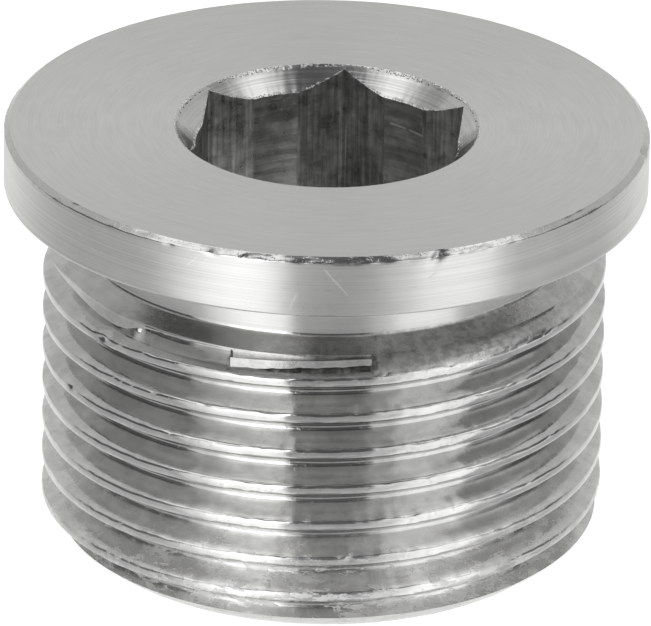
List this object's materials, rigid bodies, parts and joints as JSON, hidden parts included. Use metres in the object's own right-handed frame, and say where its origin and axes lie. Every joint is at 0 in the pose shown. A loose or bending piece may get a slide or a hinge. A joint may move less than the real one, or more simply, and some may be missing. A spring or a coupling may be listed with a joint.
{
  "type": "hex socket screw plug",
  "caption": "Round screw plug with a flat sealing collar, an undercut, an external pipe thread and a countersunk hexagon socket.",
  "frame": {"origin": "centre of the flat end face of the threaded shank, on the plug's axis", "axes": "+Z along the plug's axis from the threaded end to the collar; +Y through a corner of the hexagon, +X square to two of its flats"},
  "size_m": [0.03, 0.03, 0.0201],
  "materials": {
    "plated_steel": "bright plated steel over turned, thread-cut and broached surfaces"
  },
  "bodies": {
    "root": {"plug": "plated_steel"}
  },
  "joints": []
}
